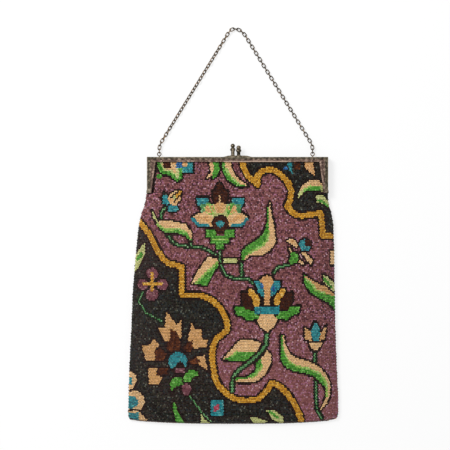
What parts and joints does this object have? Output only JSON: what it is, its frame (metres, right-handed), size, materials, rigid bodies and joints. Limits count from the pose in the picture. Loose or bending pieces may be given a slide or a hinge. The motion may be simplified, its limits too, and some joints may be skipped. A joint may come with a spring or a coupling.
{
  "type": "beaded frame purse",
  "caption": "Bead-knitted evening purse lying on its back, with a floral carpet pattern, a lining, a hinged metal frame closed by a ball kiss-lock, and an oval-link carrying chain.",
  "frame": {"origin": "centre of the flat back, which lies on the floor, halfway between the rail's top and the bottom fold", "axes": "+X to the right of the front, +Y from the bottom fold to the chain, +Z out of the front"},
  "size_m": [0.2005, 0.377, 0.013],
  "materials": {
    "frame_metal": "aged silver plate on pressed brass, rubbed on the raised parts",
    "clasp_metal": "aged silver plate on turned brass",
    "chain_metal": "aged silver plate on brass wire",
    "beadwork": "small glossy glass beads knitted on silk thread",
    "lining": "plain thin silk"
  },
  "bodies": {
    "bag": {"rear_frame": "frame_metal", "left_hinge_pin": "frame_metal", "right_hinge_pin": "frame_metal", "rear_clasp_knob": "clasp_metal", "left_chain_eye": "chain_metal", "right_chain_eye": "chain_metal", "beaded_pouch": "beadwork", "silk_lining": "lining"},
    "front_half": {"front_frame": "frame_metal", "front_clasp_knob": "clasp_metal"},
    "chain": {"chain_left_run": "chain_metal", "chain_right_run": "chain_metal"}
  },
  "joints": [
    {"name": "frame_hinge", "type": "hinge", "parent": "bag", "child": "front_half", "pos_m": [0, 0.0935, 0.0052], "axis": [1, 0, 0], "range_deg": [0, 90]},
    {"name": "chain_swing", "type": "hinge", "parent": "bag", "child": "chain", "pos_m": [0, 0.1312, 0.0026], "axis": [1, 0, 0], "range_deg": [-100, 100]}
  ]
}
